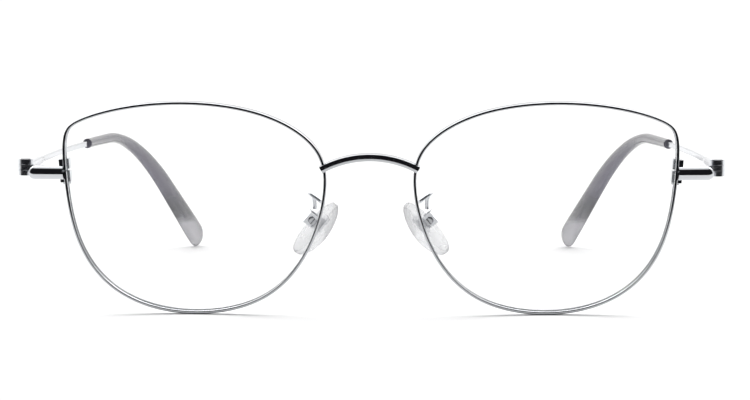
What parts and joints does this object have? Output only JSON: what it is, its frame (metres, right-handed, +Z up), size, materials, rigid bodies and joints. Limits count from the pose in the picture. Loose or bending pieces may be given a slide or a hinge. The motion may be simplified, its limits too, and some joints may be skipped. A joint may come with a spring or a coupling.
{
  "type": "eyeglasses",
  "caption": "Metal wire eyeglasses with soft cat-eye full rims, clear lenses, adjustable clear nose pads, hinged temples and smoky translucent tips",
  "frame": {"origin": "middle of the standing footprint, on the table plane, with the temples open", "axes": "X to the wearer's left, Y from the front to the back along the temples, Z up"},
  "size_m": [0.1394, 0.1382, 0.0424],
  "materials": {
    "rim_metal": "polished",
    "fitting_metal": "polished",
    "temple_metal": "polished",
    "screw_metal": "fine turned",
    "lens_glass": "clear, coated",
    "pad_silicone": "clear, soft",
    "insert_plastic": "clear, hard",
    "tip_plastic": "smoky, translucent"
  },
  "bodies": {
    "front": {"right_rim": "rim_metal", "left_rim": "rim_metal", "right_lens": "lens_glass", "left_lens": "lens_glass", "bridge": "rim_metal", "right_end_piece": "fitting_metal", "left_end_piece": "fitting_metal", "right_upper_rim_block": "fitting_metal", "left_upper_rim_block": "fitting_metal", "right_lower_rim_block": "fitting_metal", "left_lower_rim_block": "fitting_metal", "right_rim_screw": "screw_metal", "left_rim_screw": "screw_metal", "right_front_hinge_leaf": "fitting_metal", "left_front_hinge_leaf": "fitting_metal", "right_pad_arm": "fitting_metal", "left_pad_arm": "fitting_metal", "right_pad_box": "fitting_metal", "left_pad_box": "fitting_metal", "right_pad_screw": "screw_metal", "left_pad_screw": "screw_metal"},
    "left_temple_arm": {"left_temple_hinge_leaf": "fitting_metal", "left_hinge_screw": "screw_metal", "left_temple": "temple_metal", "left_temple_tip": "tip_plastic"},
    "right_temple_arm": {"right_temple_hinge_leaf": "fitting_metal", "right_hinge_screw": "screw_metal", "right_temple": "temple_metal", "right_temple_tip": "tip_plastic"},
    "left_pad": {"left_pad_insert": "insert_plastic", "left_nose_pad": "pad_silicone"},
    "right_pad": {"right_pad_insert": "insert_plastic", "right_nose_pad": "pad_silicone"}
  },
  "joints": [
    {"name": "left_temple_hinge", "type": "hinge", "parent": "front", "child": "left_temple_arm", "pos_m": [0.06818, -0.06177, 0.02904], "axis": [0, -0.0157, 0.9999], "range_deg": [0, 79]},
    {"name": "right_temple_hinge", "type": "hinge", "parent": "front", "child": "right_temple_arm", "pos_m": [-0.06818, -0.06177, 0.02904], "axis": [0, 0.0157, -0.9999], "range_deg": [0, 69]},
    {"name": "left_pad_rock", "type": "hinge", "parent": "front", "child": "left_pad", "pos_m": [0.012, -0.05793, 0.01859], "axis": [0.262, 0.9, 0.3485], "range_deg": [-7, 7]},
    {"name": "right_pad_rock", "type": "hinge", "parent": "front", "child": "right_pad", "pos_m": [-0.012, -0.05793, 0.01859], "axis": [0.262, -0.9, -0.3485], "range_deg": [-7, 7]}
  ]
}
